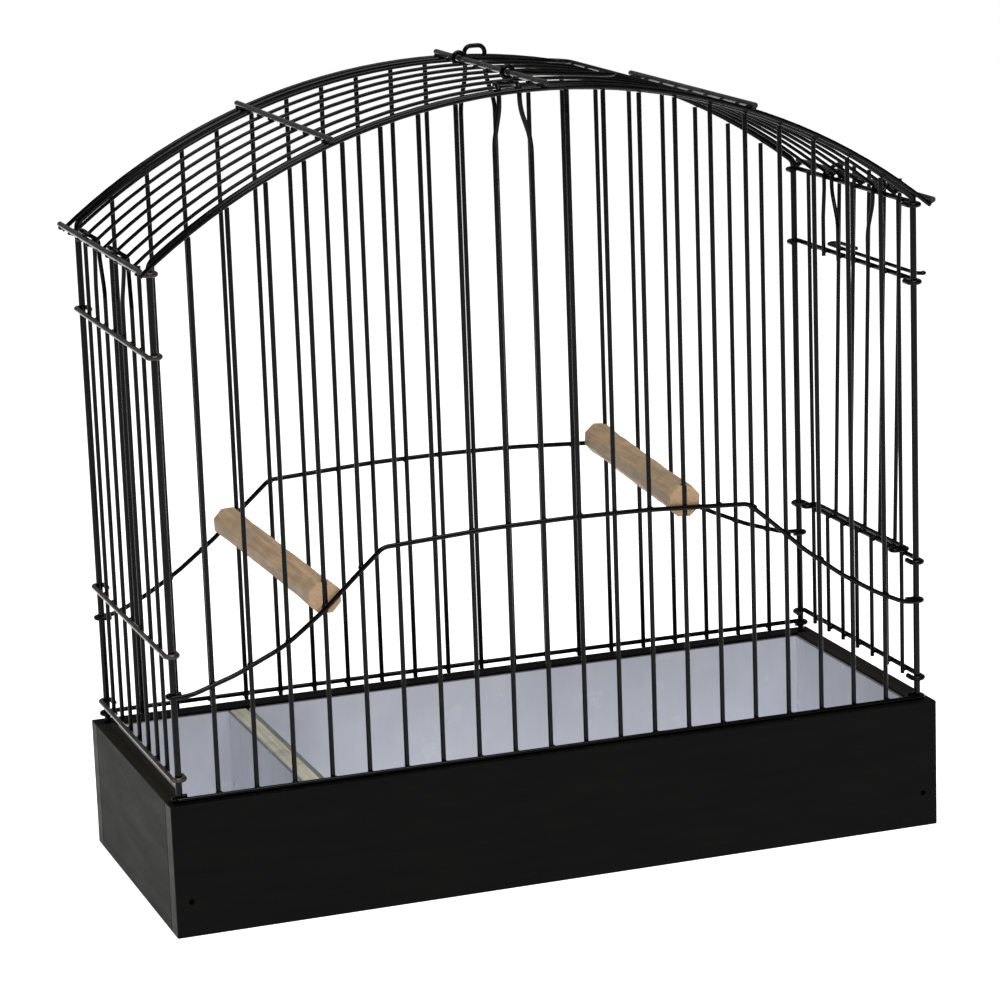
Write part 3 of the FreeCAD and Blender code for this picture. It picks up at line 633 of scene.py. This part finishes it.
@dataclass
class BoxBase:
    """The shallow wooden box: four black boards, a floor, a divider and two trays."""

    arris: float = 0.55 * MM
    long_edge: float = 9 * MM
    sharp_turn: float = math.radians(40)

    def softened(self, name: str, material: Material) -> None:
        """Replaces a CAD board with a copy whose long edges are sanded round.

        Args:
            name: the board's node.
            material: its finish.
        """
        mesh = whole_faced(name)
        sharp = [e for e in mesh.edges if e.calc_length() > self.long_edge and len(e.link_faces) == 2]
        sharp = [e for e in sharp if e.calc_face_angle(0.0) > self.sharp_turn]
        bmesh.ops.bevel(
            mesh, geom=sharp, offset=self.arris, segments=3, profile=0.5, affect="EDGES", material=-1
        )
        piece = piece_from(mesh, name + "_softened", Body.BASE, material, smooth=False)
        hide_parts(name)

    def build(self) -> None:
        """Builds the boards and dresses what stays as CAD."""
        long_paint = BlackPaintOnWood().make("black_paint_on_long_boards")
        # The end boards' greyer paint is painted sheen of light from the left; it is the same black paint as
        # the long boards.
        painted_sheen_paint = BlackPaintOnWood(
            paint="#1E1D19", brushed="#272622", squeeze=(1.0, 0.06, 1.0), sheen=0.01
        ).make("black_paint_with_painted_sheen_on_end_boards")
        bare = BareSoftwood().make("aged_bare_softwood")
        for name, slot, material in (
            ("base_front_board", Slot.BLACK_WOOD, long_paint),
            ("base_back_board", Slot.BLACK_WOOD, long_paint),
            ("base_left_board", Slot.BLACK_WOOD, painted_sheen_paint),
            ("base_right_board", Slot.BLACK_WOOD, painted_sheen_paint),
            ("divider_board", Slot.RAW_WOOD, bare),
        ):
            self.softened(name, material)
        dress(["base_floor"], bare)
        sheet = PaleSheet(rim=node_box("litter_tray")[1].z)
        dress(["seed_tray", "litter_tray"], sheet.make("pale_lacquered_sheet"))
        dress(["base_nails"], BlackPaintOnWood().make("painted_nail_heads"))


@dataclass
class WireCage:
    """The wire top that lifts off the base, its door and its handle."""

    bead: Vector = field(default_factory=lambda: Vector((1.75, 1.5, 1.35)) * MM)
    end_bead: Vector = field(default_factory=lambda: Vector((1.4, 1.6, 1.3)) * MM)
    roof_bead: Vector = field(default_factory=lambda: Vector((1.5, 1.35, 1.0)) * MM)
    door_bead: Vector = field(default_factory=lambda: Vector((1.2, 1.3, 0.85)) * MM)
    neck: float = 22 * MM
    bar_outset: float = 0.95 * MM
    rail_outset: float = 0.75 * MM
    overlap: float = 1 * MM
    end_rod_line: float = 175 * MM
    arch_rows: tuple[float, float] = (64 * MM, 68 * MM)

    def panel_beads(self, side: str) -> list[Vector]:
        """Where the upright wires of a long panel cross its bottom wire and its waved wire.

        Args:
            side: front or back.

        Returns:
            The crossings.
        """
        bars = [middle(box) for box in islands(side + "_bars")]
        foot, head = node_box(side + "_bottom_wire")
        radius = (head.z - foot.z) / 2
        low, high = node_box(side + "_clip")
        row = bars[0].y
        outward = 1 if row > 0 else -1
        waved = surface(side + "_waved_wire")
        spots = []
        for across in [bar.x for bar in bars] + [low.x + radius, high.x - radius]:
            spots.append(Vector((across, row + outward * radius, (foot.z + head.z) / 2)))
            over = Vector((across, row + outward * 2 * radius, high.z))
            hit = waved.ray_cast(over, Vector((0, 0, -1)))[0]
            if hit:
                spots.append(Vector((across, row + outward * radius, hit.z - radius)))
        return spots

    def legs(self, name: str) -> list[tuple[float, float, float]]:
        """The upright runs in a node of straight wires or hairpins.

        Args:
            name: the node.

        Returns:
            Place along Y and lowest and highest level of each run.
        """
        thin_low, thin_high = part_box("left_wires")
        radius = (thin_high[0] - thin_low[0]) / 2
        found = []
        for low, high in islands(name):
            if high.y - low.y < 3 * radius:
                found.append(((low.y + high.y) / 2, low.z, high.z))
            else:
                found += [(y, low.z, high.z - self.neck) for y in (low.y + radius, high.y - radius)]
        return found

    def end_beads(self, side: str, nodes: list[str]) -> list[Vector]:
        """Where the upright wires of an end panel cross its level bars.

        Args:
            side: left or right.
            nodes: the nodes of upright wires, a straight one first.

        Returns:
            The crossings.
        """
        legs = [leg for name in nodes for leg in self.legs(name)]
        line = middle(node_box(nodes[0])).x
        across = line + self.bar_outset * (1 if line > 0 else -1)
        spots = []
        for bar in ("bottom", "sill", "lintel", "top"):
            level = middle(node_box(f"{side}_{bar}_bar")).z
            for along, foot, head in legs:
                if foot - self.overlap < level < head + self.overlap:
                    spots.append(Vector((across, along, level)))
        return spots

    def roof_beads(self) -> list[Vector]:
        """Where the lengthwise roof wires and the two arches pass under the cross rods.

        Returns:
            The crossings. The arches have none at the end rods, where they turn down to the posts.
        """
        rows = [middle(box).y for name in ("roof_wires", "roof_edge_wires") for box in islands(name)]
        rows += [middle(islands(side + "_bars")[0]).y for side in ("front", "back")]
        inner, outer = self.arch_rows
        spots = []
        for rod in ("left_end", "left", "middle", "right", "right_end"):
            low, high = node_box("roof_rod_" + rod)
            centre = (low + high) / 2
            for row in rows:
                if abs(centre.x) < self.end_rod_line or not inner <= abs(row) <= outer:
                    spots.append(Vector((centre.x, row, low.z)))
        return spots

    def door_beads(self) -> list[Vector]:
        """Where the door's wires are soldered to its two rails.

        Returns:
            The crossings.
        """
        spots = []
        for name, outset in (("door_bottom_rail", -self.rail_outset), ("door_upper_rail", self.rail_outset)):
            rail = middle(node_box(name)).z
            for low, high in islands("door_wires"):
                share = (rail - low.z) / (high.z - low.z)
                line = low.x + (high.x - low.x) * share
                spots.append(Vector((line + outset, (low.y + high.y) / 2, rail)))
        return spots

    def build(self) -> None:
        """Dresses the wires and adds the solder."""
        enamel = WireEnamel().make("black_enamel_on_wire")
        others = ("base_", "divider", "seed", "litter", "perch")
        names = [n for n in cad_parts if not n.startswith(others)]
        dress(names, enamel)
        rods = [n for n in names if n.startswith("roof_rod_")]
        # The rods' paint and dust colours are greyer than the other wires': painted highlight of light from
        # above and the left.
        dress(rods, WireEnamel("#1B1B1A", "#383733", shine=0.25).make("greyed_enamel_with_painted_highlight_on_rods"))
        level_bars = [f"left_{bar}_bar" for bar in ("bottom", "sill", "lintel", "top")]
        # The left bars' paint and dust colours are greyer than the other wires': painted reflection of light
        # from the left; the pale steel at the rubs is wear.
        worn = WireEnamel("#24221E", "#4A463F", steel="#8A8478", shine=0.25)
        dress(level_bars, worn.make("worn_enamel_with_painted_reflection_on_left_bars"))
        left = self.end_beads("left", ["left_wires", "left_hooks"])
        right_wires = ["right_guides", "right_lower_wires", "right_upper_wire", "right_hooks"]
        right = self.end_beads("right", right_wires)
        for beads in (
            Beads("front_solder", Body.CAGE, self.bead, 5, self.panel_beads("front")),
            Beads("back_solder", Body.CAGE, self.bead, 6, self.panel_beads("back")),
            Beads("left_solder", Body.CAGE, self.end_bead, 7, left),
            Beads("right_solder", Body.CAGE, self.end_bead, 8, right),
            Beads("roof_solder", Body.CAGE, self.roof_bead, 9, self.roof_beads()),
            Beads("door_solder", Body.DOOR, self.door_bead, 10, self.door_beads()),
        ):
            beads.build(enamel)


@dataclass
class Perches:
    """Two whittled sticks held by their notches between the panels."""

    cut_step: float = 7.5 * MM
    knife: float = 0.055
    notch_zone: float = 60 * MM
    fade_length: float = 8 * MM
    stroke: float = 9 * MM
    stroke_stretch: float = 0.8
    end_depth: float = 1 * MM

    def axis_ends(self, mesh: bmesh.types.BMesh, reach: float) -> list[Vector]:
        """The centres of a perch's two end faces.

        Args:
            mesh: the perch.
            reach: how far its longer end is from the middle plane.

        Returns:
            The centre at the front and the centre at the back.
        """
        ends = []
        for side in (-1, 1):
            ring = [v.co for v in mesh.verts if v.co.y * side > reach - self.end_depth]
            ends.append(Vector((min(p[i] for p in ring) + max(p[i] for p in ring)) / 2 for i in range(3)))
        return ends

    def whittled(self, name: str, material: Material) -> None:
        """Replaces a CAD perch with a copy whose facets run uneven, as a knife leaves them.

        Args:
            name: the perch's node.
            material: its finish.
        """
        mesh = whole_faced(name)
        low, high = node_box(name)
        for number in range(1, int((high.y - low.y) / self.cut_step)):
            cut = Vector((0, low.y + number * self.cut_step, 0))
            everything = mesh.verts[:] + mesh.edges[:] + mesh.faces[:]
            bmesh.ops.bisect_plane(mesh, geom=everything, plane_co=cut, plane_no=(0, 1, 0))
        front, back = self.axis_ends(mesh, max(abs(low.y), abs(high.y)))
        for vertex in mesh.verts:
            axis = front.lerp(back, (vertex.co.y - front.y) / (back.y - front.y))
            fade = min(1.0, max(0.0, (self.notch_zone - abs(vertex.co.y)) / self.fade_length))
            spot = Vector((vertex.co.x, vertex.co.y * self.stroke_stretch, vertex.co.z)) / self.stroke
            shaved = 0.5 + 0.5 * field_noise.noise(spot)
            vertex.co = axis.lerp(vertex.co, 1 - self.knife * fade * shaved * 2)
        bmesh.ops.triangulate(mesh, faces=mesh.faces)
        piece = piece_from(mesh, name + "_whittled", Body.CAGE, material, smooth=False)
        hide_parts(name)

    def build(self) -> None:
        """Builds both perches."""
        beech = WhittledBeech().make("whittled_beech")
        for name in ("perch_left", "perch_right"):
            self.whittled(name, beech)


@dataclass(frozen=True)
class Lamp:
    """A square soft light that faces the cage: its side in metres and its power in watts."""

    name: str
    place: tuple[float, float, float]
    size: float
    power: float
    aim: tuple[float, float, float] = (0.0, 0.0, 0.15)

    def build(self) -> None:
        """Hangs the light."""
        data = bpy.data.lights.new(self.name, "AREA")
        data.shape = "SQUARE"
        data.size = self.size
        data.energy = self.power
        lamp = bpy.data.objects.new(self.name, data)
        lamp.location = self.place
        away = Vector(self.place) - Vector(self.aim)
        lamp.rotation_euler = away.to_track_quat("Z", "Y").to_euler()
        bpy.context.scene.collection.objects.link(lamp)


@dataclass
class Studio:
    """Floor, lights, world and camera."""

    place: Vector = field(default_factory=lambda: Vector((-0.5247, -1.5026, 0.5338)))
    azimuth: float = -19.18
    elevation: float = 13.283
    roll: float = -2.045
    lens: float = 130.2
    fill: float = 0.16
    floor_glow: float = 0.72
    floor_radius: float = 2.6
    lamps: tuple[Lamp, ...] = (
        Lamp("top_soft_light", (0.0, -0.6, 2.2), 1.6, 54),
        Lamp("left_soft_light", (-1.9, -0.5, 1.0), 0.6, 6),
        Lamp("front_soft_light", (-0.3, -1.9, 1.7), 0.5, 12),
    )

    def camera(self) -> None:
        """Sets the camera at the object's front left, a little above it."""
        a, e, r = (math.radians(v) for v in (self.azimuth, self.elevation, self.roll))
        right = Vector((math.cos(a), math.sin(a), 0))
        back = Vector((math.sin(a) * math.cos(e), -math.cos(a) * math.cos(e), math.sin(e)))
        up = back.cross(right)
        turned_right = right * math.cos(r) + up * math.sin(r)
        turned_up = up * math.cos(r) - right * math.sin(r)
        data = bpy.data.cameras.new("camera")
        data.lens = self.lens
        data.sensor_width = 36
        data.clip_end = 50
        camera = bpy.data.objects.new("camera", data)
        turn = Matrix((turned_right, turned_up, back)).transposed().to_4x4()
        camera.matrix_world = Matrix.Translation(self.place) @ turn
        bpy.context.scene.collection.objects.link(camera)
        bpy.context.scene.camera = camera

    def floor(self) -> None:
        """Lays the pale floor, which glows a little so that it stays white to its edge."""
        mesh = bmesh.new()
        bmesh.ops.create_circle(mesh, cap_ends=True, segments=96, radius=self.floor_radius)
        data = bpy.data.meshes.new("studio_floor")
        mesh.to_mesh(data)
        mesh.free()
        floor = bpy.data.objects.new("studio_floor", data)
        bpy.context.scene.collection.objects.link(floor)
        white = {"Base Color": linear("#F4F4F4"), "Emission Color": (1, 1, 1, 1)}
        matt = {"Roughness": 0.95, "Specular IOR Level": 0.1, "Emission Strength": self.floor_glow}
        data.materials.append(Coat.named("pale_floor").finish(white | matt, {}))

    def world(self) -> None:
        """Sets a white surround that the camera sees bright and the cage sees dim."""
        world = bpy.data.worlds.new("soft_white")
        world.use_nodes = True
        tree = world.node_tree
        background = tree.nodes["Background"]
        background.inputs["Color"].default_value = (1, 1, 1, 1)
        seen = add_node(tree, Node.RAY, out="Is Camera Ray")
        strength = add_node(tree, Node.RANGE, {"To Min": self.fill}, {"Value": seen})
        tree.links.new(strength, background.inputs["Strength"])
        bpy.context.scene.world = world
        bpy.context.scene.view_settings.view_transform = "Standard"

    def build(self) -> None:
        """Builds the studio."""
        self.camera()
        self.floor()
        self.world()
        for lamp in self.lamps:
            lamp.build()


def main() -> None:
    """Builds the cage and its studio in order."""
    logging.basicConfig(level=logging.INFO, format="%(name)s %(message)s")
    for part in (BoxBase(), WireCage(), Perches(), Studio()):
        log.info("building %s", type(part).__name__)
        part.build()


if __name__ == "__main__":
    main()
